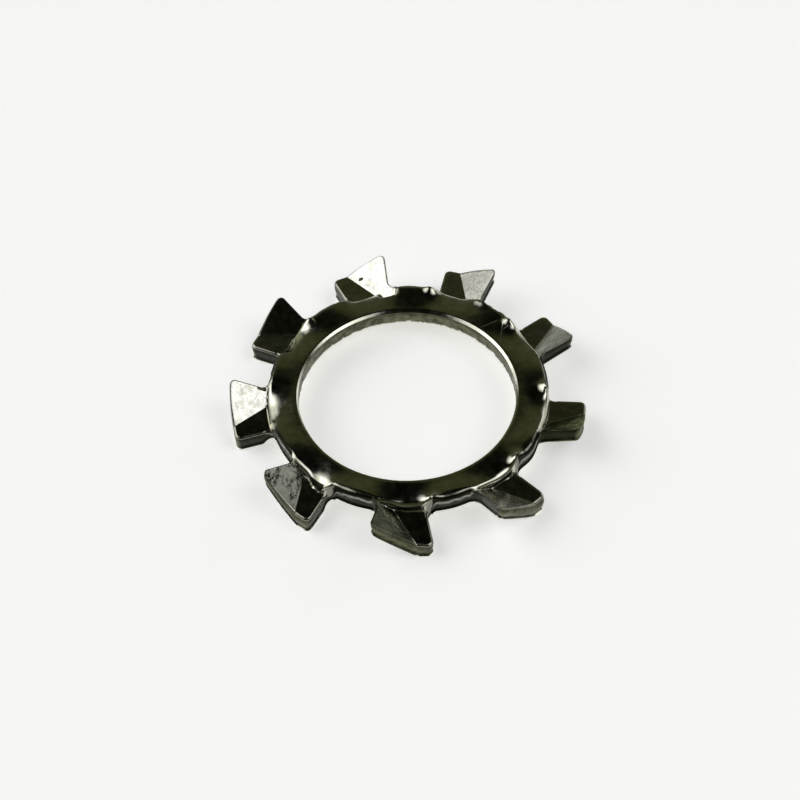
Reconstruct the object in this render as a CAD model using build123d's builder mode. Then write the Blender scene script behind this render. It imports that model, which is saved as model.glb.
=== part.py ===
from build123d import *
import os
from math import asin, cos, degrees, hypot, radians, sin, tan

# External-tooth lock washer for an M10 screw, stamped from one piece of spring steel.
# Millimetres. The origin is on the axis of the bore, on the lower face of the flat ring, with +Z up.
# The flat ring lies in XY. The first tooth points along +X, and the others follow anticlockwise.

# Flat ring
thickness = 0.9            # sheet, between the ring's two flat faces
bore_diameter = 10.7       # clearance for the M10 screw
root_diameter = 13.8       # rim of the ring between the teeth
blank_offset = 0.24        # the bore is pierced this far off the blank's centre, along -Y
die_roll = 0.28            # rounding that the blanking die leaves round the ring's upper rim
bore_break = 0.08          # bevel round the upper edge of the bore
lower_break = 0.06         # bevel round the ring's lower edges

# Outline of a tooth, seen from above
tooth_count = 9
tip_diameter = 17.5        # circle through the tips of the teeth
tooth_angle = 18.8         # degrees from flank to flank; the flanks are radial
tip_corner_radius = 0.3    # where a flank meets the tip
root_fillet_radius = 0.4   # where a flank runs into the rim of the ring

# Set of a tooth. Creased dies press it down on its anticlockwise side and lift it on its clockwise
# side, so that a low flat and a raised facet meet in an oblique crease.
step_depth = 0.55          # the low flat lies this far below the ring's upper face
facet_tilt = 34.0          # degrees, slope of the raised facet
crease_angle = 30.0        # degrees between the crease and the radius through the tooth's middle
crease_radius = 7.6        # where the crease crosses that radius
crease_fillet = 0.12       # rounding along the bottom of the crease
low_depth = 1.15           # depth of the section under the low flat, measured along Z
raised_depth = 0.85        # the same at the raised corner, which the dies draw thinner
crest_fillet = 0.35        # rounding along the ridge below the crease
upper_break = 0.06         # bevel of the tooth's upper edges
lower_break_of_tooth = 0.2 # bevel of the tooth's lower edges, battered off by the dies
root_overlap = 0.4         # the tooth's section starts this far in under the ring's rim
bend_overlap = 0.25        # the bend under the ring starts this far in from its rim
bend_slope = 45.0          # degrees, slope of that bend

bore_radius = bore_diameter / 2
root_radius = root_diameter / 2
tip_radius = tip_diameter / 2
half_tooth = tooth_angle / 2
flare_angle = degrees(asin(root_fillet_radius / (root_radius + root_fillet_radius)))
low_flat_height = thickness - step_depth
crease_x = cos(radians(crease_angle))
crease_y = sin(radians(crease_angle))
facet_slope = tan(radians(facet_tilt))
section_start = root_radius - root_overlap
bend_start = root_radius - bend_overlap
beyond = 2 * tip_radius    # well outside the washer


def past_crease(x, y):
    """How far a point of the tooth on +X lies from the crease, towards the raised side."""
    return (x - crease_radius) * crease_y - y * crease_x


corner_reach = past_crease(tip_radius * cos(radians(half_tooth)), -tip_radius * sin(radians(half_tooth)))


def wedge(half_angle):
    """Triangle from the centre of the blank, symmetric about +X, that runs out past the tips."""
    half_width = beyond * tan(radians(half_angle))
    with BuildSketch() as sector:
        with BuildLine():
            Polyline((0, 0), (beyond, -half_width), (beyond, half_width), close=True)
        make_face()
    return sector.sketch


def on_root_circle(vertex):
    """True where a flank of the tooth on +X meets the rim of the ring."""
    return vertex.X > 0 and abs(hypot(vertex.X, vertex.Y) - root_radius) < 0.001


def section_depth(reach):
    """Depth of the set section at a distance past the crease."""
    return low_depth - (low_depth - raised_depth) * reach / corner_reach


def section_middle(x, y):
    """Height of the middle of the set section at a point of the tooth on +X."""
    reach = max(0, past_crease(x, y))
    return low_flat_height + reach * facet_slope - section_depth(reach) / 2


def is_outer_wall(face):
    """True for the upright faces of the flanks, the tip and the root fillets."""
    centre = face.center()
    return abs(face.normal_at().Z) < 0.01 and hypot(centre.X, centre.Y) > root_radius


def is_upright(edge):
    return abs(edge.tangent_at(0.5).Z) > 0.95


def is_upper(edge):
    centre = edge.center()
    return centre.Z > section_middle(centre.X, centre.Y)


# Outline of one tooth, with the fillets that run into the rim
with BuildSketch() as tooth_outline:
    add(wedge(half_tooth))
    Circle(tip_radius, mode=Mode.INTERSECT)
    fillet(tooth_outline.vertices().group_by(Axis.X)[-1], tip_corner_radius)
    Circle(root_radius)
    fillet(tooth_outline.vertices().filter_by(on_root_circle), root_fillet_radius)
    Circle(section_start, mode=Mode.SUBTRACT)
    add(wedge(half_tooth + flare_angle), mode=Mode.INTERSECT)

# The set section is drawn square to the crease: local x runs from the crease to the raised side
section_plane = Plane(
    origin=(crease_radius, 0, low_flat_height),
    x_dir=(crease_y, -crease_x, 0),
    z_dir=(-crease_x, -crease_y, 0),
)
strip_reach = 1.5 * corner_reach

with BuildPart() as tooth:
    # The blank's outline, cut upright through the height of the set
    with BuildSketch(Plane.XY.offset(-beyond)):
        add(tooth_outline.sketch)
    extrude(amount=2 * beyond)

    # The creased strip: the low flat, and the facet that climbs away from it
    with BuildSketch(section_plane) as section:
        with BuildLine():
            Polyline(
                (-beyond, 0),
                (0, 0),
                (strip_reach, strip_reach * facet_slope),
                (strip_reach, strip_reach * facet_slope - section_depth(strip_reach)),
                (0, -low_depth),
                (-beyond, -low_depth),
                close=True,
            )
        make_face()
        fillet(section.vertices().sort_by_distance((0, 0, 0))[0], crease_fillet)
        fillet(section.vertices().sort_by_distance((0, -low_depth, 0))[0], crest_fillet)
    extrude(amount=beyond, both=True, mode=Mode.INTERSECT)

    wall_edges = tooth.faces().filter_by(is_outer_wall).edges().filter_by(is_upright, reverse=True)
    chamfer(wall_edges.filter_by(is_upper, reverse=True), lower_break_of_tooth)
    wall_edges = tooth.faces().filter_by(is_outer_wall).edges().filter_by(is_upright, reverse=True)
    chamfer(wall_edges.filter_by(is_upper), upper_break)

    # Under the ring the section slopes away from the lower face
    with BuildSketch(Plane.XZ):
        with BuildLine():
            Polyline(
                (0, 0),
                (bend_start, 0),
                (bend_start + beyond, -beyond * tan(radians(bend_slope))),
                (0, -beyond * tan(radians(bend_slope))),
                close=True,
            )
        make_face()
    revolve(axis=Axis.Z, mode=Mode.SUBTRACT)

with BuildPart() as lock_washer:
    # Rim of the ring, rounded over by the blanking die
    with Locations((0, blank_offset)):
        Cylinder(root_radius, thickness, align=(Align.CENTER, Align.CENTER, Align.MIN))
    fillet(lock_washer.edges().sort_by(Axis.Z)[-1], die_roll)
    chamfer(lock_washer.edges().sort_by(Axis.Z)[0], lower_break)

    # The teeth, about the blank's centre
    with Locations((0, blank_offset)):
        with PolarLocations(0, tooth_count):
            add(tooth.part)

    # The pierced bore
    Cylinder(
        bore_radius,
        3 * thickness,
        align=(Align.CENTER, Align.CENTER, Align.CENTER),
        mode=Mode.SUBTRACT,
    )
    bore_edges = lock_washer.edges().filter_by(GeomType.CIRCLE)
    bore_edges = bore_edges.filter_by(lambda edge: abs(edge.radius - bore_radius) < 0.001).sort_by(Axis.Z)
    chamfer(bore_edges[-1], bore_break)
    chamfer(bore_edges[0], lower_break)

lock_washer.part.label = "lock_washer"

os.makedirs("parts", exist_ok=True)
export_step(lock_washer.part, "parts/lock_washer.step")
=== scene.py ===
from math import cos, pi, radians, sin, tan

import bmesh
import bpy
import numpy as np
from mathutils import Matrix, Vector


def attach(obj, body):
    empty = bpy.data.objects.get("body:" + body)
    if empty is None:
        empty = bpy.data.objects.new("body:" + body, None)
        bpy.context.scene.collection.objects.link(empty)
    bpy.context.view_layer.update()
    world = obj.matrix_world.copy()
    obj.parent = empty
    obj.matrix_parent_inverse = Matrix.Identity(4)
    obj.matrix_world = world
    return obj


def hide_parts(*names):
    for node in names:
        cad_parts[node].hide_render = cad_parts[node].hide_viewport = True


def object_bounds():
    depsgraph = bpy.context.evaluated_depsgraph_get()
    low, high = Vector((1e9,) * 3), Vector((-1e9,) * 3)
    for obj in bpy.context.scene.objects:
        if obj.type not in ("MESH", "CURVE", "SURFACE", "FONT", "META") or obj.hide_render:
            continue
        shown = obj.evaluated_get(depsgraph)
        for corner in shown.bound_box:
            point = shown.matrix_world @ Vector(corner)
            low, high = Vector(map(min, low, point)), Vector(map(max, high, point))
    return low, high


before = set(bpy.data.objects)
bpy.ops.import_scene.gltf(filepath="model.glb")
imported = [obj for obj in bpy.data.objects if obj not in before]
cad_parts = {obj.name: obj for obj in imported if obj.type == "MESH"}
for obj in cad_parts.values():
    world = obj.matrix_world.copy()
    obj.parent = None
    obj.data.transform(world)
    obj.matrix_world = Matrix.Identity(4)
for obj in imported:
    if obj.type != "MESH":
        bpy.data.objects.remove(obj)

cad_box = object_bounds()
MM = 0.001

# ---------------------------------------------------------------------------------------- Camera
# The camera looks down on the washer from the front with a long lens, turned a little about its
# own axis. Directions are given by azimuth, anticlockwise from +X, and elevation above the floor.
camera_aim = Vector((0, 0.24, 0.9)) * MM
camera_distance = 81.9 * MM
camera_azimuth = radians(-76.69)
camera_elevation = radians(50.40)
camera_roll = radians(-1.25)
picture_width = 800
focal_length = 1667.55        # in pixels of the picture
principal_point = (408.2, 388.3)


def direction(azimuth, elevation):
    """Unit vector: (cos e cos a, cos e sin a, sin e)."""
    return Vector((cos(elevation) * cos(azimuth), cos(elevation) * sin(azimuth), sin(elevation)))


towards_camera = direction(camera_azimuth, camera_elevation)
level_right = Vector((-sin(camera_azimuth), cos(camera_azimuth), 0))
level_up = towards_camera.cross(level_right)
picture_right = cos(camera_roll) * level_right + sin(camera_roll) * level_up
picture_up = cos(camera_roll) * level_up - sin(camera_roll) * level_right

camera_data = bpy.data.cameras.new("camera")
camera_data.sensor_width = 36
camera_data.lens = camera_data.sensor_width * focal_length / picture_width
camera_data.shift_x = 0.5 - principal_point[0] / picture_width
camera_data.shift_y = principal_point[1] / picture_width - 0.5
camera_data.clip_start = 2 * MM
camera_data.clip_end = 20000 * MM
camera = bpy.data.objects.new("camera", camera_data)
camera.matrix_world = Matrix.Translation(camera_aim + camera_distance * towards_camera) @ Matrix(
    (picture_right, picture_up, towards_camera)
).transposed().to_4x4()
bpy.context.scene.collection.objects.link(camera)
bpy.context.scene.camera = camera

# ----------------------------------------------------------------------------------- Floor, light
# A white table under three wide round softboxes, one on each side and a fainter one low down
# behind, in a dim room. Each lamp has an azimuth and an elevation, the half angle at which it has
# faded to nothing as the washer sees it, and the radiance of its middle.
floor_half_width = 1.5
floor_colour = (0.93, 0.93, 0.925, 1)
floor_roughness = 0.9
floor_gloss = 0.1
floor_glow = 0.48              # keeps the table white where it is seen, directly or in the metal
lamp_distance = 0.32
lamps = {
    "left_softbox": (184, 38, 38, 2.8),
    "right_softbox": (-3, 51, 27, 2.6),
    "rear_softbox": (54, 19, 24, 1.2),
}
room_colours = (               # sine of the height above the horizon, and colour
    (0.00, (0.15, 0.15, 0.11, 1)),
    (0.35, (0.08, 0.082, 0.052, 1)),
    (0.68, (0.050, 0.053, 0.024, 1)),
    (0.755, (0.034, 0.036, 0.016, 1)),
    (0.805, (0.008, 0.009, 0.005, 1)),
    (0.90, (0.002, 0.002, 0.001, 1)),
)

bpy.context.scene.view_settings.view_transform = "Standard"

floor_mesh = bpy.data.meshes.new("floor")
corner = floor_half_width
floor_mesh.from_pydata(
    [(-corner, -corner, 0), (corner, -corner, 0), (corner, corner, 0), (-corner, corner, 0)],
    [],
    [(0, 1, 2, 3)],
)
floor_mesh.transform(Matrix.Translation((0, 0, cad_box[0][2])))
floor = bpy.data.objects.new("floor", floor_mesh)
bpy.context.scene.collection.objects.link(floor)

floor_material = bpy.data.materials.new("white_table")
floor_material.use_nodes = True
floor_shader = floor_material.node_tree.nodes["Principled BSDF"]
floor_shader.inputs["Base Color"].default_value = floor_colour
floor_shader.inputs["Roughness"].default_value = floor_roughness
floor_shader.inputs["Specular IOR Level"].default_value = floor_gloss
floor_shader.inputs["Emission Color"].default_value = (1, 1, 1, 1)
# The glow shows to the camera, in mirrors and through clear things, and lights nothing else
seen_by = floor_material.node_tree.nodes.new("ShaderNodeLightPath")
seen = [floor_material.node_tree.nodes.new("ShaderNodeMath") for _ in range(3)]
floor_links = floor_material.node_tree.links
floor_links.new(seen_by.outputs["Is Camera Ray"], seen[0].inputs[0])
floor_links.new(seen_by.outputs["Is Glossy Ray"], seen[0].inputs[1])
floor_links.new(seen[0].outputs[0], seen[1].inputs[0])
floor_links.new(seen_by.outputs["Is Transmission Ray"], seen[1].inputs[1])
floor_links.new(seen[1].outputs[0], seen[2].inputs[0])
seen[2].operation = "MULTIPLY"
seen[2].inputs[1].default_value = floor_glow
floor_links.new(seen[2].outputs[0], floor_shader.inputs["Emission Strength"])
floor_mesh.materials.append(floor_material)

# A lamp whose light is kept within a half angle h is brighter in its middle, by tan h / (tan h - h)
for name, (azimuth, elevation, half_angle, radiance) in lamps.items():
    lamp_data = bpy.data.lights.new(name, "AREA")
    lamp_data.shape = "DISK"
    reach = tan(radians(half_angle))
    lamp_data.size = 2 * lamp_distance * reach
    lamp_data.spread = 2 * radians(half_angle)
    lamp_area = pi * (lamp_data.size / 2) ** 2
    lamp_data.energy = radiance * pi * lamp_area * (1 - radians(half_angle) / reach)
    lamp = bpy.data.objects.new(name, lamp_data)
    outwards = direction(radians(azimuth), radians(elevation))
    lamp.matrix_world = Matrix.Translation(lamp_distance * outwards) @ outwards.to_track_quat(
        "Z", "Y"
    ).to_matrix().to_4x4()
    bpy.context.scene.collection.objects.link(lamp)

world = bpy.data.worlds.new("dim_room")
bpy.context.scene.world = world
world.use_nodes = True
room_nodes = world.node_tree.nodes
room_links = world.node_tree.links
view_direction = room_nodes.new("ShaderNodeTexCoord")
view_height = room_nodes.new("ShaderNodeSeparateXYZ")
room_ramp = room_nodes.new("ShaderNodeValToRGB")
room_links.new(view_direction.outputs["Generated"], view_height.inputs[0])
room_links.new(view_height.outputs["Z"], room_ramp.inputs["Fac"])
room_links.new(room_ramp.outputs["Color"], room_nodes["Background"].inputs["Color"])
stops = room_ramp.color_ramp.elements
for number, (position, colour) in enumerate(room_colours):
    stop = stops[number] if number < 2 else stops.new(position)
    stop.position = position
    stop.color = colour

# ------------------------------------------------------------------------------------ Lock washer
# External-tooth lock washer for an M10 screw, one piece of plated spring steel. A press blanks and
# pierces it from sheet, then creased dies set its nine teeth. All lengths here are in millimetres,
# and angles are about the blank's centre, in radians from the middle of a tooth.
tooth_count = 9
sheet = 0.9
bore_radius = 5.35
blank_offset = 0.24            # the blank's centre lies this far from the bore's axis, along +Y
root_radius = 6.9
tip_radius = 8.749
half_tooth = radians(9.4)
root_fillet = 0.4
rim_width = 0.3                # strip along the outline that the edge's profile takes up
bore_strip = 0.24              # and along the bore
low_flat = 0.35                # height of a tooth's low flat
facet_slope = tan(radians(34))
underside_slope = facet_slope + 0.171      # steeper, so the raised corner is drawn thinner
crease_angle = radians(30)     # between the crease and the radius through the tooth's middle
crease_radius = 7.6            # where the crease crosses that radius
low_depth = 1.15               # depth of a tooth under its low flat
ridge_half_width = 0.13        # of the rounding along the ridge under the crease
bend_start = 6.65              # radius where the underside bends down to the teeth
bend_slope = 1.0
bend_rounding = 0.05

# The nine teeth, anticlockwise from +X, were not struck quite alike. Angles in this table are in
# degrees from the tooth's middle, and the gap meant is the one that follows the tooth.
teeth = np.arange(tooth_count)
# how far its low side is sunk, and then its tip; how much painted shade darkens its facet, and how
# pitted that facet is
twist = np.array([0.0, -0.03, -0.03, -0.02, 0.12, 0.17, 0.06, 0.06, -0.02])
tip_droop = np.array([0.0, 0.0, 0.0, 0.0, 0.0, 0.0, 0.12, 0.20, 0.05])
# painted shade: some facets are darkened in colour to stand in for the dark surroundings they
# reflect
facet_painted_shade = np.array([1.0, 0.25, 0.0, 0.0, 0.9, 0.0, 0.2, 0.85, 0.0])
pitting = np.array([0.2, 0.12, 0.25, 0.25, 0.2, 0.25, 1.0, 0.6, 0.3])
# where the ring bends down to the tooth: from this radius and this angle on, and past its own rim
drag_start = np.array([6.72, 6.70, 6.62, 6.46, 6.40, 6.60, 6.72, 6.72, 6.76])
drag_from = np.array([-5.0, -7.0, -9.0, -14.0, -11.0, -8.0, -2.5, -5.0, -5.0])
drag_reach = np.array([0.04, 0.04, 0.04, 0.04, 0.06, 0.08, 0.28, 0.08, 0.06])
# the knob squeezed up beside the low side's root, and the ring lifted at the raised side's root
knob_height = np.array([0.16, 0.15, 0.17, 0.0, 0.0, 0.0, 0.03, 0.14, 0.18])
knob_radius = np.array([6.76, 6.68, 6.64, 6.70, 6.70, 6.70, 6.74, 6.80, 6.78])
lift = np.array([0.0, 0.0, 0.10, 0.0, 0.14, 0.04, 0.0, 0.0, 0.0])
lift_middle = np.array([0.0, 0.0, -11.5, -12.5, -8.3, -13.0, 0.0, 0.0, 0.0])
# rounding between ring and facet, and how far the facet's plane is pressed on into the ring
blend_width = np.array([0.24, 0.30, 0.45, 0.06, 0.70, 0.36, 0.28, 0.24, 0.24])
overrun = np.array([0.0, 0.0, 0.0, 1.0, 0.0, 0.0, 0.0, 0.0, 0.0])
# the gap's rim: how far it rolls over, how nicked its edge is, and how far it is pressed out
gap_roll = np.array([0.7, 0.7, 0.7, 0.7, 0.6, 0.15, 0.8, 1.0, 1.0])
gap_nicks = np.array([0.4, 1.7, 0.4, 0.4, 1.3, 0.7, 0.8, 0.9, 1.1])
gap_spread = np.array([0.0, 0.0, 0.0, 0.0, 0.0, 0.0, 0.03, 0.04, 0.12])
# the plan as the dies spread it: the tip's wall bulges, and the low flank and the tip move out
belly = np.array([0.0, 0.0, 0.0, 0.0, 0.0, 0.0, 0.04, 0.0, 0.07])
side_spread = np.array([0.0, 0.0, 0.0, 0.0, 0.0, 0.0, 0.15, 0.16, 0.0])
tip_spread = np.array([0.0, 0.0, 0.0, 0.0, 0.0, 0.0, 0.0, 0.0, 0.12])
low_tip_spread = np.array([0.0, 0.0, 0.0, 0.0, 0.0, 0.0, 0.04, 0.12, 0.15])

inner_rim = root_radius - rim_width
inner_tip = tip_radius - rim_width
fillet_centre_radius = root_radius + root_fillet
fillet_centre_angle = half_tooth + np.arcsin(root_fillet / fillet_centre_radius)
flank_start = fillet_centre_radius * np.cos(fillet_centre_angle - half_tooth)
tangent_radius = np.hypot(flank_start, rim_width)

# Radii of the rows across a tooth, close together where the ring's rim rolls over
rim_rows = np.array(
    [0, 0.005, 0.015, 0.03, 0.05, 0.08, 0.115, 0.15, 0.185, 0.215, 0.24, 0.262, 0.28, 0.293, 0.3]
    + [0.307, 0.32, 0.34, 0.37, 0.41, 0.46, 0.515, 0.575, 0.635]
)
tooth_row_count = 21
tooth_rows = np.linspace(tangent_radius, inner_tip, tooth_row_count)
rows = np.concatenate([inner_rim + rim_rows, tooth_rows])
fillet_rows = len(rim_rows)


def smooth_step(value, low, high):
    """Runs from 0 at low to 1 at high as 3t^2 - 2t^3."""
    t = np.clip((value - low) / (high - low), 0, 1)
    return t * t * (3 - 2 * t)


def smooth_max(first, second, width):
    """The larger of two heights, with the corner between them rounded over a width."""
    share = np.clip(0.5 + 0.5 * (first - second) / width, 0, 1)
    return first * share + second * (1 - share) + width * share * (1 - share)


def turn_of(tooth):
    """Angle of a tooth's middle from that of the first: 2 pi k / n."""
    return tooth * 2 * pi / tooth_count


def polar(radius, angle):
    """Plan point (r cos a, r sin a)."""
    return np.stack(np.broadcast_arrays(radius * np.cos(angle), radius * np.sin(angle)), -1)


def past_crease(x, y):
    """Distance from the crease towards the raised side: (x - c) sin g - y cos g."""
    return (x - crease_radius) * sin(crease_angle) - y * cos(crease_angle)


def crease_at(radius):
    """Angle of the crease on a circle: g - asin(c sin g / r)."""
    return crease_angle - np.arcsin(crease_radius * sin(crease_angle) / radius)


def side_at(radius):
    """Angle of the rim strip's inner side on a circle: an arc about the root fillet's centre, by
    the cosine rule, then a line rim_width inside the radial flank."""
    span = root_fillet + rim_width
    cosine = (fillet_centre_radius**2 + radius**2 - span**2) / (2 * fillet_centre_radius * radius)
    return np.where(
        radius < tangent_radius - 1e-9,
        fillet_centre_angle - np.arccos(np.clip(cosine, -1, 1)),
        half_tooth - np.arcsin(rim_width / radius),
    )


def roll(depth_in, radius):
    """Drop of a rolled edge of radius R, at a distance d in from it: R - sqrt(R^2 - (R - d)^2)."""
    reach = np.clip(radius - depth_in, 0, radius)
    return radius - np.sqrt(np.maximum(radius**2 - reach**2, 0))


def from_middle(angle, middle, clockwise_width, other_width):
    """Bell round an angle, exp(-t^2), with a width for each side of it; all in degrees."""
    offset = np.degrees(angle) - middle
    return np.exp(-((offset / np.where(offset < 0, clockwise_width, other_width)) ** 2))


def ramp(value, softness):
    """Rises with slope 1 from 0, eased in: (t + sqrt(t^2 + s^2)) / 2."""
    return (value + np.sqrt(value**2 + softness**2)) / 2


def bore_at(angle):
    """Distance of the bore's edge from the blank's centre: -e sin p + sqrt(R^2 - (e cos p)^2)."""
    across = blank_offset * np.cos(angle)
    return -blank_offset * np.sin(angle) + np.sqrt(bore_radius**2 - across**2)


def share_across(x, y):
    """How far a point is out along its tooth, and across it from its raised to its low side, as two
    shares from 0 to 1."""
    out = np.clip((x - root_radius) / (tip_radius - root_radius), 0, 1)
    over = np.clip(y / (2 * tip_radius * sin(half_tooth)) + 0.5, 0, 1)
    return out, over


def facet_height(x, y):
    """Upper face of an ideal tooth: a low flat, and past the crease a facet climbing from it."""
    return low_flat + facet_slope * np.maximum(past_crease(x, y), 0)


def on_tooth(radius, angle):
    """1 outside the root radius and between a tooth's root fillets, and 0 on the ring at a gap."""
    between_fillets = smooth_step(
        np.abs(angle), fillet_centre_angle + radians(1), fillet_centre_angle - radians(2)
    )
    return np.where(radius > root_radius + 0.001, 1, between_fillets)


wave_height = 0.155
wave_turn = radians(1.5)
drag_slope = 0.76
drag_rounding = 0.16           # where the ring starts to bend down
drag_onset = 0.4               # share of the ring's width over which that sets in from the bore
valley_ease = 8                # degrees over which the dragged valley sets in
valley_end = (12, 6)           # degrees over which it ends
knob_angle = 12.6              # degrees, as the next line
knob_spread = (3.1, 2.6)       # clockwise and anticlockwise of its middle
knob_width = 0.25              # along the radius
swell_share = 0.28             # height of the low swelling round the knob, as a share of the knob's
swell_angle = 12.0
swell_spread = (6.5, 3.0)
swell_width = 0.6
lift_radius = 6.85
lift_spread = (3.0, 5.0)
lift_width = 0.34
roll_width = 0.20              # of the rolled rim beside a tooth
rolled_wider = 0.22            # than that, in a gap that rolls over
sharp_narrower = 0.10          # and in one that stays sharp
roll_drop = 0.28               # of the rolled rim beside a tooth
sharp_shallower = 0.22         # than that, in a gap that stays sharp
valley_shallower = 0.16        # and in the dragged valley
valley_early = 0.03            # there the roll ends this far inside the rim
gap_middle = 20                # degrees, as the next line
roll_spread = 8
cliff_slope = 9                # of the ring's rim, where a tooth leaves it
overrun_from = (6.24, 6.58)    # radii over which the overrun sets in
overrun_left = (-3.5, -6.5)    # degrees over which it sets in from one side
overrun_right = (-13.2, -11.2)
overrun_depth = 0.05           # how far it stays under the facet's own plane
least_rounding = 0.06          # between ring and tooth
blend_sides = (radians(4), radians(-5))    # angles over which the blend reaches further in
blend_from = (5.9, 6.5)        # and radii
blend_ease = radians(3)        # it sets in over this angle at the root fillets
step_ease = 0.02
step_height = 0.06


def top_height(x, y, tooth):
    """Upper face. The ring waves a little, down at the teeth and up between them. At a tooth's low
    side its rim is dragged down a slope, and elsewhere it rolls over. A smooth maximum blends that
    into the set tooth, a low flat and a facet that climbs with the distance past the crease."""
    radius = np.hypot(x, y)
    angle = np.arctan2(y, x)
    degree = np.degrees(angle)
    inner = bore_at(angle + turn_of(tooth)) + bore_strip
    outwards = np.clip((radius - inner) / (root_radius - inner), 0, 1.1)
    off_bore = smooth_step(outwards, 0, drag_onset)
    wave = -wave_height * np.cos(tooth_count * (angle - wave_turn)) * outwards

    # dragged down beside the tooth, in a valley
    valley = smooth_step(degree, drag_from[tooth], drag_from[tooth] + valley_ease)
    valley = valley * smooth_step(degree, *valley_end)
    dragged = drag_slope * valley * ramp(radius - drag_start[tooth], drag_rounding) * off_bore

    # squeezed up in a knob with a low swelling round it, and lifted at the raised side's root
    past_knob = radius - knob_radius[tooth]
    knob = knob_height[tooth] * from_middle(angle, knob_angle, *knob_spread)
    knob = knob * np.exp(-((past_knob / knob_width) ** 2))
    swell = swell_share * knob_height[tooth] * from_middle(angle, swell_angle, *swell_spread)
    swell = swell * off_bore
    knob = knob + swell * np.exp(-((past_knob / swell_width) ** 2))
    lifted = lift[tooth] * from_middle(angle, lift_middle[tooth], *lift_spread)
    lifted = lifted * np.exp(-(((radius - lift_radius) / lift_width) ** 2))

    # rolled over along the rim, which falls away beyond it
    in_roll = np.clip(1 - (np.abs(np.abs(degree) - gap_middle) / roll_spread) ** 2, 0, 1)
    rolled = gap_roll[np.where(degree > 0, tooth, tooth - 1)]
    width = roll_width + (rolled_wider * rolled - sharp_narrower * (1 - rolled)) * in_roll
    drop = roll_drop - valley_shallower * valley - sharp_shallower * (1 - rolled) * np.sqrt(in_roll)
    rim = root_radius + drag_reach[tooth] * valley
    reach = np.clip(1 - (rim - valley_early * valley - radius) / width, 0, 1)
    fallen = cliff_slope * np.maximum(radius - rim, 0)
    ring = sheet + wave + knob + lifted - dragged - drop * (1 - np.sqrt(1 - reach**2)) - fallen

    # the tooth as the dies set it, and its facet's plane pressed on into the ring
    out, over = share_across(x, y)
    facet = facet_height(x, y)
    set_face = facet - (twist[tooth] * over + tip_droop[tooth] * out * over)
    run_in = overrun[tooth] * smooth_step(radius, *overrun_from)
    run_in = run_in * smooth_step(degree, *overrun_left) * smooth_step(degree, *overrun_right)
    ring = ring + run_in * (np.minimum(sheet + wave, facet - overrun_depth) - ring)

    # the blend of both, which reaches further into the ring at the raised side
    reach_in = smooth_step(angle, *blend_sides) * smooth_step(radius, *blend_from)
    reach_in = reach_in * smooth_step(
        np.abs(angle), fillet_centre_angle, fillet_centre_angle - blend_ease
    )
    blended = smooth_max(ring, set_face, least_rounding + blend_width[tooth] * reach_in)
    return ring + (blended - ring) * on_tooth(radius, angle)


def step_share(x, y, top):
    """1 on the steep step where the ring drops to a tooth, which is outside the root radius and
    still above the tooth's own face, and 0 elsewhere."""
    outside = smooth_step(np.hypot(x, y), root_radius - step_ease, root_radius + step_ease)
    return outside * smooth_step(top - facet_height(x, y), 0.0, step_height)


def bottom_height(x, y):
    """Lower face, alike for all teeth: level under the ring, then down a bend to the section under
    the tooth, which is level at the low side and slopes up from a rounded ridge."""
    radius = np.hypot(x, y)
    angle = np.arctan2(y, x)
    past = past_crease(x, y)
    half = ridge_half_width
    rise = np.where(past < -half, 0, np.where(past > half, past, (past + half) ** 2 / (4 * half)))
    section = low_flat - low_depth + underside_slope * rise
    bend = -bend_slope * np.maximum(radius - bend_start, 0)
    return smooth_max(section, bend, bend_rounding) * on_tooth(radius, angle)


# Columns of the plan: from the clockwise side of a tooth to its crease, and on to the other side
half_columns = 16
gap_columns = 16
column_share = np.linspace(0, 1, half_columns + 1)
side_line = side_at(rows)[:, None]
crease_line = crease_at(rows)[:, None]
raised_half = -side_line + (crease_line + side_line) * column_share
low_half = crease_line + (side_line - crease_line) * column_share[1:]
tooth_angles = np.concatenate([raised_half, low_half], 1)
gap_angles = np.linspace(fillet_centre_angle, pi / tooth_count, gap_columns + 1)
ring_angles = np.concatenate([-gap_angles[::-1], tooth_angles[0][1:-1], gap_angles])

# Stations along the outline of one tooth, from the middle of one gap to the middle of the next: the
# strip's inner point, and the direction outwards
corner_share = np.linspace(0, 1, 9)[1:-1]
fillet_centre = polar(fillet_centre_radius, fillet_centre_angle)
flank_inner = polar(rows, side_at(rows))
flank_out = np.where(
    (np.arange(len(rows)) < fillet_rows)[:, None],
    (fillet_centre - flank_inner) / (root_fillet + rim_width),
    np.array([-sin(half_tooth), cos(half_tooth)]),
)
corner_turn = half_tooth + pi / 2 + (side_at(inner_tip) - half_tooth - pi / 2) * corner_share
corner_inner = np.repeat(flank_inner[-1:], len(corner_turn), 0)
corner_out = polar(1.0, corner_turn)
gap_inner = polar(inner_rim, gap_angles[1:][::-1])
gap_out = polar(1.0, gap_angles[1:][::-1])
side_inner = np.concatenate([gap_inner, flank_inner, corner_inner])
side_out = np.concatenate([gap_out, flank_out, corner_out])
mirror = np.array([1, -1])
tip_angles = tooth_angles[-1]
tip_inner = polar(inner_tip, tip_angles)
tip_out = polar(1.0, tip_angles)
station_inner = np.concatenate([side_inner * mirror, tip_inner, side_inner[::-1]])
station_out = np.concatenate([side_out * mirror, tip_out, side_out[::-1]])

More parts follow.
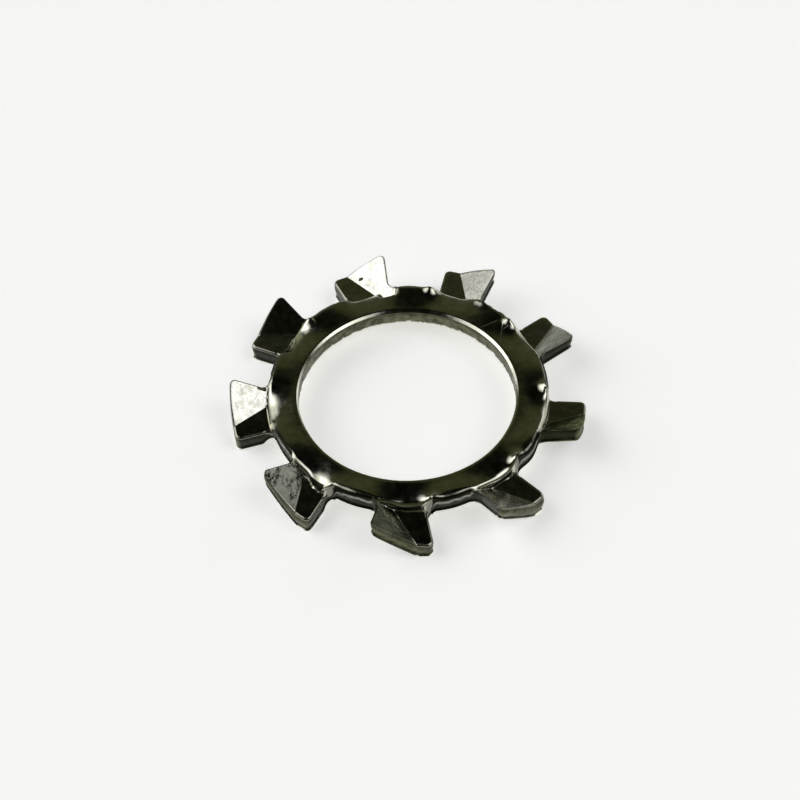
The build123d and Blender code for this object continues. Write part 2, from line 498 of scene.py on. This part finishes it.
# How sharp the edge is at each station, as the radius of its rounding: rolled over in the gaps and
# over the low side's root, and nearly sharp round the tooth
gap_edge = 0.28
least_edge = 0.085
low_side_duller = 0.045        # than that, at a tooth's low side
root_duller = 0.13             # and over that side's root
root_dome_angle = 11.3         # degrees, as the next line
root_dome_spread = 1.8
lower_edge = 0.2
gap_sharper = 0.14             # than that, in a gap
tip_sharper = 0.08             # and at a tip
outline = station_inner + rim_width * station_out
outline_radius = np.hypot(outline[:, 0], outline[:, 1])
outline_angle = np.arctan2(outline[:, 1], outline[:, 0])
in_gap = smooth_step(np.abs(outline_angle), fillet_centre_angle - radians(1.6), fillet_centre_angle)
anticlockwise = smooth_step(outline_angle, radians(-4), radians(4))
root_dome = from_middle(outline_angle, root_dome_angle, root_dome_spread, root_dome_spread)
root_dome = root_dome * (outline_radius < fillet_centre_radius)
tooth_edge = least_edge + low_side_duller * anticlockwise + root_duller * root_dome
spread_radius = tooth_edge + (gap_edge - tooth_edge) * in_gap
upper_radius = tooth_edge * (1 - in_gap * (1 - root_dome))
at_tip = smooth_step(outline_radius, tip_radius - 0.25, tip_radius - 0.05)
lower_radius = lower_edge - gap_sharper * in_gap - tip_sharper * at_tip

quarter = np.linspace(0, pi / 2, 7)
inward = np.linspace(0, 1, 4)[:-1]
wall_share = np.linspace(0, 1, 9)[1:-1]
land_share = 0.16              # of the wall's height, down to where it broke off
land_unevenness = 0.10
fracture_lean = 0.07
lip_width = 0.035
lip_share = 0.09
fine_nicks = 0.03
coarse_nicks = 0.06
nick_reach = (0.28, 0.02)      # distances in from the edge over which they set in
rim_painted_shade = (0.20, 0.06)       # and over which a gap's rolled rim takes the sheared walls' dark colour as painted shade
edge_painted_shade = (1.1, 0.4)        # and a tooth's edge, in radii of its rounding
edge_painted_shade_share = 0.5         # how far that edge takes it
least_rounded = 0.01

# How far each station lies along the whole outline, as a share of its length
way_length = np.concatenate([[0], np.cumsum(np.hypot(*np.diff(outline, axis=0).T))])
way = (way_length / way_length[-1] + teeth[:, None]) / tooth_count


def wander(way, knot_count, seed):
    """Random run along a closed way of length 1: seeded values at even knots, eased between."""
    values = np.random.default_rng(seed).uniform(-1, 1, knot_count)
    place = way * knot_count
    knot = np.floor(place).astype(int)
    ease = smooth_step(place - knot, 0, 1)
    return values[knot % knot_count] * (1 - ease) + values[(knot + 1) % knot_count] * ease


def strip_points():
    """The edge's profile carried along the outline. At each station it comes out across the upper
    face, rolls over a quarter circle, and goes down the wall, round a lower one and back in."""
    spread = spread_radius[:, None]
    upper = upper_radius[:, None]
    lower = lower_radius[:, None]
    top_in = np.concatenate(
        [rim_width + (spread - rim_width) * inward, spread * (1 - np.sin(quarter))], 1
    )
    low_in = np.concatenate(
        [lower * (1 - np.sin(quarter[::-1])), rim_width + (lower - rim_width) * inward[::-1]], 1
    )
    wall_in = np.zeros((len(outline), len(wall_share)))
    depth_in = np.concatenate([top_in, wall_in, low_in], 1)
    plan = station_inner[:, None] + (rim_width - depth_in)[..., None] * station_out[:, None]
    x, y = plan[..., 0], plan[..., 1]
    tops = top_in.shape[1]
    walls = len(wall_share)
    lows = low_in.shape[1]
    shape = (tooth_count,) + x.shape
    x = np.broadcast_to(x, shape).copy()
    y = np.broadcast_to(y, shape).copy()
    tooth = teeth[:, None, None]
    top = top_height(x[..., :tops], y[..., :tops], tooth) - roll(top_in, upper)
    low = bottom_height(x[..., tops + walls :], y[..., tops + walls :]) + roll(low_in, lower)
    wall = top[..., -1:] + (low[..., :1] - top[..., -1:]) * wall_share
    z = np.concatenate([top, wall, low], 2)
    across = np.concatenate([np.zeros(tops), wall_share, np.ones(lows)])
    on_wall = np.concatenate([np.zeros(tops - 1), np.ones(walls + 2), np.zeros(lows - 1)])
    # sheared metal shows on the wall, darkened partly with painted shade, and that dark colour is
    # painted as shade on a gap's rolled rim and, half as much, on a tooth's edge
    shear_and_shade = np.maximum(on_wall, in_gap[:, None] * smooth_step(depth_in, *rim_painted_shade))
    far, near = (reach * np.maximum(upper, least_rounded) for reach in edge_painted_shade)
    edge = edge_painted_shade_share * smooth_step(depth_in, far, near) * (across == 0)
    shear_and_shade = np.maximum(shear_and_shade, edge)
    # below its shiny land the wall broke off: it leans in, with a ragged lip at the land's edge
    edge_of_land = land_share + land_unevenness * wander(way, 300, seed=3)[..., None]
    lean = fracture_lean * smooth_step(across, edge_of_land, 1)
    lip = np.exp(-(((across - edge_of_land) / lip_share) ** 2)) * (across > 0)
    raggedness = 0.5 + 0.9 * np.maximum(wander(way, 620, seed=5)[..., None], -0.5)
    bulge = belly[tooth] * at_tip[:, None] * np.sin(pi * across)
    # nicks along the gap's upper edge
    nicked = fine_nicks * np.minimum(wander(way, 380, seed=8)[..., None], 0)
    nicked = nicked + coarse_nicks * np.minimum(wander(way, 130, seed=9)[..., None] + 0.2, 0)
    gap = np.where(outline_angle > 0, tooth[:, 0], tooth[:, 0] - 1)
    nicked = nicked * gap_nicks[gap][..., None]
    push = in_gap[:, None] * nicked * smooth_step(depth_in, *nick_reach) * (across < 0.5)
    push = push + in_gap[:, None] * lip_width * lip * raggedness
    push = push + (bulge - lean) * on_wall * (across > 0)
    x += push * station_out[:, None, 0]
    y += push * station_out[:, None, 1]
    strip_marks = dict(
        wall=on_wall, depth=across, shear_and_shade=shear_and_shade, lip=lip * in_gap[:, None], tip=at_tip[:, None]
    )
    return x, y, z, strip_marks


pressed_angles = (10, 20)      # degrees over which a gap's rim comes to be pressed out
pressed_radii = (6.2, 6.9)


def to_washer(x, y, z):
    """Spreads each tooth's plan as the dies pressed it, by how far out and across a point lies,
    and turns it about the blank's centre to its place, in metres."""
    tooth = teeth.reshape((-1,) + (1,) * (x.ndim - 1))
    out, over = share_across(x, y)
    x = x + out**2 * (tip_spread[tooth] + (low_tip_spread - tip_spread)[tooth] * over**2)
    y = y + side_spread[tooth] * out * over
    radius = np.hypot(x, y)
    degree = np.degrees(np.arctan2(y, x))
    gap = smooth_step(np.abs(degree), *pressed_angles) * smooth_step(radius, *pressed_radii)
    pressed = 1 + gap * gap_spread[np.where(degree > 0, tooth, tooth - 1)] / radius
    x, y = x * pressed, y * pressed
    turn = turn_of(tooth)
    return MM * np.stack(
        [
            x * np.cos(turn) - y * np.sin(turn),
            blank_offset + x * np.sin(turn) + y * np.cos(turn),
            z,
        ],
        -1,
    )


# What a point's colour and finish depend on: whether it is on a wall and how far down it, on
# sheared metal, which is also painted dark as shade, on the torn lip, painted bright as a glint, at
# a tip or in the bore, away from which walls are painted darker still, on a raised facet, how much
# painted shade darkens that facet, and how pitted it is
marks = ("wall", "depth", "shear_and_shade", "lip", "tip", "raised", "painted_facet_shade", "pitted")
patches = []
facet_ease = 0.08              # distance out over which a facet's finish sets in
crease_ease = 0.02             # and past its crease
crease_width = 0.06            # the crease itself is free of pits, and less of the facet's painted shade lies on it, which paints a bright line along it as a highlight
crease_painted_highlight = 0.6


def add_patch(x, y, z, given=()):
    """Keeps one stack of grids, and for every point the marks that its finish and its painted shade
    and highlight depend on.
    """
    radius = np.hypot(x, y)
    past = past_crease(x, y)
    outside = smooth_step(radius, root_radius, root_radius + facet_ease)
    raised = outside * smooth_step(past, -crease_ease, crease_ease)
    at_crease = outside * np.exp(-((past / crease_width) ** 2))
    values = {
        "raised": raised,
        # painted shade on the facet, lessened along the crease as a painted highlight
        "painted_facet_shade": raised * (1 - crease_painted_highlight * at_crease) * facet_painted_shade[:, None, None],
        "pitted": raised * (1 - at_crease) * pitting[:, None, None],
        **dict(given),
    }
    values = {name: np.broadcast_to(values.get(name, 0.0), z.shape) for name in marks}
    patches.append((to_washer(x, y, z), values))


def for_all_teeth(values):
    """One tooth's values repeated for all teeth."""
    return np.broadcast_to(values, (tooth_count,) + values.shape)


# The faces of the teeth
x = rows[:, None] * np.cos(tooth_angles)
y = rows[:, None] * np.sin(tooth_angles)
x, y = for_all_teeth(x), for_all_teeth(y)
z = top_height(x, y, teeth[:, None, None])
# the step where the ring drops to a tooth takes the sheared colour with its painted shade
add_patch(x, y, z, dict(shear_and_shade=step_share(x, y, z)))
add_patch(x, y, bottom_height(x, y))

# The faces of the ring, from the bore's strip to the rim's
ring_rows = np.concatenate([np.linspace(0, 0.25, 3), np.linspace(0.32, 1, 11)])
turned = turn_of(teeth)[:, None]
bore = bore_at(ring_angles + turned)[:, None, :]
radius = bore + bore_strip + (inner_rim - bore - bore_strip) * ring_rows[:, None]
x = radius * np.cos(ring_angles)
y = radius * np.sin(ring_angles)
add_patch(x, y, top_height(x, y, teeth[:, None, None]))
add_patch(x, y, bottom_height(x, y))

# The strip round the outline
x, y, z, strip_marks = strip_points()
add_patch(x, y, z, strip_marks)

# The strip round the bore: its profile is carried along the pierced edge, with a bevel above, wider
# on the far side, and a ragged edge below
bevel_mean = 0.095
bevel_uneven = 0.045
bevel_width = bevel_mean + bevel_uneven * np.sin(ring_angles + turned)[..., None]
bevel_share = np.array([1.12, 1.0, 0.88, 0.5, 0.14, 0.0, 0.0])
bevel_drop = np.array([0.0, 0.04, 0.14, 0.5, 0.84, 1.0, 1.15])
bevel_slope = 0.75
bore_lower = 0.06              # radius of the lower edge
fine_chips = 0.05
coarse_chips = 0.03
arc = np.linspace(0, pi / 2, 5)
bore_wall = np.linspace(0, 1, 8)[1:-1]
bore_way = ((teeth[:, None] + 0.5 + ring_angles / turn_of(1)) / tooth_count)[..., None]
chipped = fine_chips * np.maximum(wander(bore_way, 240, seed=11), 0)
chipped = chipped + coarse_chips * np.maximum(wander(bore_way, 90, seed=12), 0)
bore_in = np.concatenate(
    [
        np.full_like(bevel_width, bore_strip),
        bevel_width * bevel_share,
        np.zeros_like(bevel_width * bore_wall),
        chipped + bore_lower * (1 - np.sin(arc[::-1])),
        np.full_like(bevel_width, bore_strip),
    ],
    -1,
)
bevel_foot = sheet - bevel_slope * bevel_width * bevel_drop[-1]
bore_height = np.concatenate(
    [
        np.full_like(bevel_width, sheet),
        sheet - bevel_slope * bevel_width * bevel_drop,
        bevel_foot + (bore_lower + chipped - bevel_foot) * bore_wall,
        (bore_lower + chipped) * (1 - np.cos(arc[::-1])),
        np.zeros_like(bevel_width),
    ],
    -1,
)
radius = bore_at(ring_angles + turned)[..., None] + bore_in
x = radius * np.cos(ring_angles)[:, None]
y = radius * np.sin(ring_angles)[:, None]
above, below = len(bevel_share), len(arc) + 1
on_bore_wall = np.concatenate([np.zeros(above), np.ones(len(bore_wall) + 1), np.zeros(below)])
depth = np.concatenate([np.zeros(above + 1), bore_wall, np.ones(below)])
add_patch(x, y, bore_height, dict(wall=on_bore_wall, depth=depth, shear_and_shade=on_bore_wall, tip=1.0))


def grid_faces(patch, first):
    """Quads of a stack of grids, as indices that start at first."""
    count, height, width = patch.shape[:3]
    index = first + np.arange(count * height * width).reshape(count, height, width)
    quads = [index[:, :-1, :-1], index[:, 1:, :-1], index[:, 1:, 1:], index[:, :-1, 1:]]
    return np.stack(quads, -1).reshape(-1, 4)


vertices = np.concatenate([points.reshape(-1, 3) for points, _ in patches])
starts = np.cumsum([0] + [points.size // 3 for points, _ in patches])
quads = np.concatenate([grid_faces(points, start) for (points, _), start in zip(patches, starts)])
washer_mesh = bpy.data.meshes.new("toothed_washer")
washer_mesh.from_pydata(vertices.tolist(), [], quads.tolist())
for name in marks:
    values = np.concatenate([np.ravel(given[name]) for _, given in patches]).astype(np.float32)
    washer_mesh.attributes.new(name, "FLOAT", "POINT").data.foreach_set("value", values)

# The patches share the points along their seams, so joining those closes the washer
seam_gap = 0.0004 * MM
sharp_edge = radians(28)
work = bmesh.new()
work.from_mesh(washer_mesh)
bmesh.ops.remove_doubles(work, verts=work.verts, dist=seam_gap)
bmesh.ops.recalc_face_normals(work, faces=work.faces)
work.to_mesh(washer_mesh)
work.free()
washer_mesh.shade_smooth()
washer_mesh.set_sharp_from_angle(angle=sharp_edge)
washer = bpy.data.objects.new("toothed_washer", washer_mesh)
bpy.context.scene.collection.objects.link(washer)
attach(washer, "root")
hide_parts("lock_washer")

# Its finish: bright plating, mirror-like on the ring, mottled where the dies struck the teeth, and
# rough on the sheared edges. Some facets, the sheared walls, the flanks and the gaps' rolled rims
# are painted darker as shade, and the torn lip is painted bright as a glint
steel = bpy.data.materials.new("plated_steel")
steel.use_nodes = True
steel_nodes = steel.node_tree.nodes
steel_links = steel.node_tree.links
steel_shader = steel_nodes["Principled BSDF"]
steel_shader.inputs["Metallic"].default_value = 1
washer_mesh.materials.append(steel)


def feed(socket, value):
    """Links a socket to another node's output, or sets it."""
    if isinstance(value, bpy.types.NodeSocket):
        steel_links.new(value, socket)
    else:
        socket.default_value = value


def arithmetic(operation, first, second=0.0):
    """One sum, product or other arithmetic on two values."""
    node = steel_nodes.new("ShaderNodeMath")
    node.operation = operation
    feed(node.inputs[0], first)
    feed(node.inputs[1], second)
    return node.outputs[0]


def between(share, low, high, colour=False):
    """A value, or a colour, part of the way from one to another. The mix node has its numbers in
    sockets 2 and 3, with result 0, and its colours in sockets 6 and 7, with result 2."""
    node = steel_nodes.new("ShaderNodeMix")
    node.data_type = "RGBA" if colour else "FLOAT"
    feed(node.inputs[0], share)
    feed(node.inputs[6 if colour else 2], low)
    feed(node.inputs[7 if colour else 3], high)
    return node.outputs[2 if colour else 0]


def stretch(value, low, high, low_result=0.0, high_result=1.0):
    """Maps a range of a value onto another range, eased at both ends."""
    node = steel_nodes.new("ShaderNodeMapRange")
    node.interpolation_type = "SMOOTHSTEP"
    for number, given in enumerate((value, low, high, low_result, high_result)):
        feed(node.inputs[number], given)
    return node.outputs[0]


def mark(name):
    """One of the mesh's marks, from 0 to 1."""
    node = steel_nodes.new("ShaderNodeAttribute")
    node.attribute_name = name
    return node.outputs["Fac"]


def cloudy(per_millimetre, detail, squeeze=(1, 1, 1), roughness=0.55):
    """Noise on the washer's own coordinates, with so many waves to the millimetre."""
    place = steel_nodes.new("ShaderNodeMapping")
    place.inputs["Scale"].default_value = [k / MM for k in squeeze]
    steel_links.new(steel_place.outputs["Object"], place.inputs["Vector"])
    node = steel_nodes.new("ShaderNodeTexNoise")
    node.inputs["Scale"].default_value = per_millimetre
    node.inputs["Detail"].default_value = detail
    node.inputs["Roughness"].default_value = roughness
    steel_links.new(place.outputs[0], node.inputs["Vector"])
    return node.outputs["Fac"]


def scratch(middle, turn, length, width):
    """A straight scratch or a small flaw, given in millimetres and degrees: 1 along its middle,
    fading towards its sides and its ends."""
    place = steel_nodes.new("ShaderNodeMapping")
    place.vector_type = "TEXTURE"
    place.inputs["Location"].default_value = (middle[0] * MM, middle[1] * MM, 0)
    place.inputs["Rotation"].default_value = (0, 0, radians(turn))
    place.inputs["Scale"].default_value = (length * MM, width * MM, MM)
    steel_links.new(steel_place.outputs["Object"], place.inputs["Vector"])
    parts = steel_nodes.new("ShaderNodeSeparateXYZ")
    steel_links.new(place.outputs[0], parts.inputs[0])
    along = stretch(arithmetic("ABSOLUTE", parts.outputs["X"]), 0.5, 0.3)
    aside = stretch(arithmetic("ABSOLUTE", parts.outputs["Y"]), 0.5, 0.1)
    return arithmetic("MULTIPLY", along, aside)


def mottled(low, high, low_colour, high_colour):
    """A colour that follows the mottling from one to another."""
    return between(stretch(mottle, low, high), (*low_colour, 1), (*high_colour, 1), True)


# Patterns: broad patches, mottling, fine grain, pocks and upright streaks
steel_place = steel_nodes.new("ShaderNodeTexCoord")
patchy = cloudy(0.9, 3)
mottle = cloudy(2.4, 5, roughness=0.6)
grain = cloudy(9, 3)
pocks = cloudy(7, 4, squeeze=(1, 0.6, 1), roughness=0.6)
streaks = cloudy(7, 4, squeeze=(1, 1, 0.12))

# Colours. The darkened facets carry painted shade. Sheared metal is bare, its land darker than its
# fracture, and its overall darkness is partly painted shade, darkest on the flanks and in the gaps
ring_colour = mottled(0.35, 0.65, (0.52, 0.52, 0.42), (0.66, 0.65, 0.58))
raised_colour = mottled(0.32, 0.60, (0.57, 0.57, 0.50), (0.65, 0.645, 0.60))
painted_facet_shade_colour = mottled(0.34, 0.64, (0.02, 0.022, 0.009), (0.10, 0.11, 0.055))
land_and_shade_colour = mottled(0.35, 0.65, (0.05, 0.05, 0.026), (0.10, 0.10, 0.062))
fracture_and_shade_colour = mottled(0.35, 0.65, (0.06, 0.06, 0.035), (0.17, 0.17, 0.11))
flank_shade_colour = (0.012, 0.012, 0.008, 1)
pit_colour = (0.035, 0.042, 0.036, 1)
flaw_colour = (0.05, 0.035, 0.02, 1)
# painted highlight: the torn lip along the gaps is painted bright as a glint
lip_glint_colour = (0.45, 0.44, 0.40, 1)
# land and fracture differ in tone; away from a tip, on the flanks and in the gaps, they are painted
# darker still as shade
sheared_and_shade_colour = between(stretch(mark("depth"), 0.15, 0.30), land_and_shade_colour, fracture_and_shade_colour, True)
sheared_and_shade_colour = between(stretch(mark("tip"), 0, 1, 0.9, 0), sheared_and_shade_colour, flank_shade_colour, True)
colour = between(mark("raised"), ring_colour, raised_colour, True)
# painted shade on the darkened facets
colour = between(mark("painted_facet_shade"), colour, painted_facet_shade_colour, True)
worn = arithmetic("MULTIPLY", stretch(patchy, 0.40, 0.58), mark("pitted"))
pits = arithmetic("MULTIPLY", stretch(pocks, 0.46, 0.57), worn)
colour = between(pits, colour, pit_colour, True)
facet_flaw = scratch((-4.07, 7.26), 12, 0.25, 0.17)
root_flaw = scratch((-7.08, -1.17), 10, 0.46, 0.20)
flaws = arithmetic("MAXIMUM", facet_flaw, root_flaw)
colour = between(flaws, colour, flaw_colour, True)
# the sheared colour, partly painted shade, on walls, rolled rims, tooth edges and steps
colour = between(stretch(mark("shear_and_shade"), 0.0, 0.9), colour, sheared_and_shade_colour, True)
# painted highlight along the torn lip
colour = between(mark("lip"), colour, lip_glint_colour, True)
feed(steel_shader.inputs["Base Color"], colour)
# the painted-shade facets also get darker, olive glancing reflections
glancing_colour = between(mark("painted_facet_shade"), (1, 1, 1, 1), (0.72, 0.76, 0.62, 1), True)
feed(steel_shader.inputs["Specular Tint"], glancing_colour)

# Roughness
scratched_roughness = 0.30
long_scratch = scratch((3.14, 5.21), 38, 1.2, 0.10)
cross_scratch = scratch((3.82, 4.80), -84, 1.9, 0.08)
short_scratch = scratch((3.98, 5.14), 53, 0.45, 0.10)
scratches = arithmetic("ADD", arithmetic("ADD", long_scratch, cross_scratch), short_scratch)
ring_roughness = between(scratches, stretch(mottle, 0.3, 0.7, 0.10, 0.16), scratched_roughness)
raised_roughness = stretch(mottle, 0.3, 0.65, 0.30, 0.18)
sheared_roughness = stretch(grain, 0.3, 0.7, 0.30, 0.48)
roughness = between(mark("raised"), ring_roughness, raised_roughness)
roughness = between(mark("shear_and_shade"), roughness, sheared_roughness)
feed(steel_shader.inputs["Roughness"], roughness)

# Relief, in millimetres, first on the ring and then on a raised facet where there are two
mottle_relief = (0.004, 0.007)
patch_relief = (0.014, 0.022)
pit_depth = 0.007
scratch_depth = 0.004
flaw_depth = 0.03
wall_relief = 0.010
relief = arithmetic("MULTIPLY", mottle, between(mark("raised"), *mottle_relief))
patch = arithmetic("MULTIPLY", patchy, between(mark("raised"), *patch_relief))
relief = arithmetic("ADD", relief, patch)
relief = arithmetic("SUBTRACT", relief, arithmetic("MULTIPLY", pits, pit_depth))
relief = arithmetic("SUBTRACT", relief, arithmetic("MULTIPLY", scratches, scratch_depth))
relief = arithmetic("SUBTRACT", relief, arithmetic("MULTIPLY", flaws, flaw_depth))
striped = arithmetic("MULTIPLY", arithmetic("ADD", streaks, mottle), wall_relief)
relief = arithmetic("ADD", relief, arithmetic("MULTIPLY", striped, mark("wall")))
bump = steel_nodes.new("ShaderNodeBump")
bump.inputs["Strength"].default_value = 1
bump.inputs["Distance"].default_value = MM
feed(bump.inputs["Height"], relief)
feed(steel_shader.inputs["Normal"], bump.outputs["Normal"])
